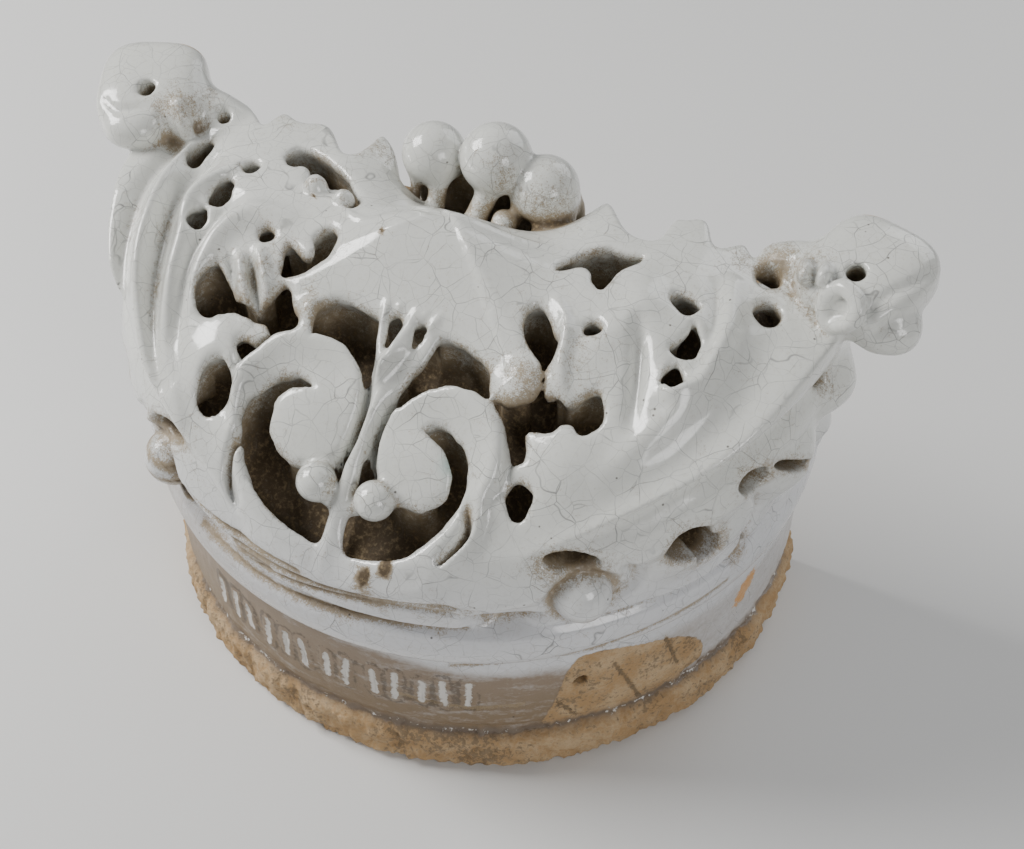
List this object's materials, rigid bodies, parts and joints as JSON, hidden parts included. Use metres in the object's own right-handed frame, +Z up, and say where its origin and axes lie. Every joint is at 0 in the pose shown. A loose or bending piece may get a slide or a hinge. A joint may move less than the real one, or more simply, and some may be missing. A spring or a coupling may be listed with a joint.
{
  "type": "terracotta column cap ornament",
  "caption": "Half-round glazed terracotta cap for an engaged facade column, with scrolls, berries, leaves and corner pods, flat at the back and underneath.",
  "frame": {"origin": "on the flat bed, on the vertical axis of the half-round drum", "axes": "+X along the wall to the right seen from the front, +Y into the wall, +Z up"},
  "size_m": [0.4338, 0.2114, 0.2652],
  "materials": {
    "glazed_clay": "off-white crazed gloss glaze over buff fired clay, bare at the foot"
  },
  "bodies": {
    "root": {"glazed_cap": "glazed_clay"}
  },
  "joints": []
}
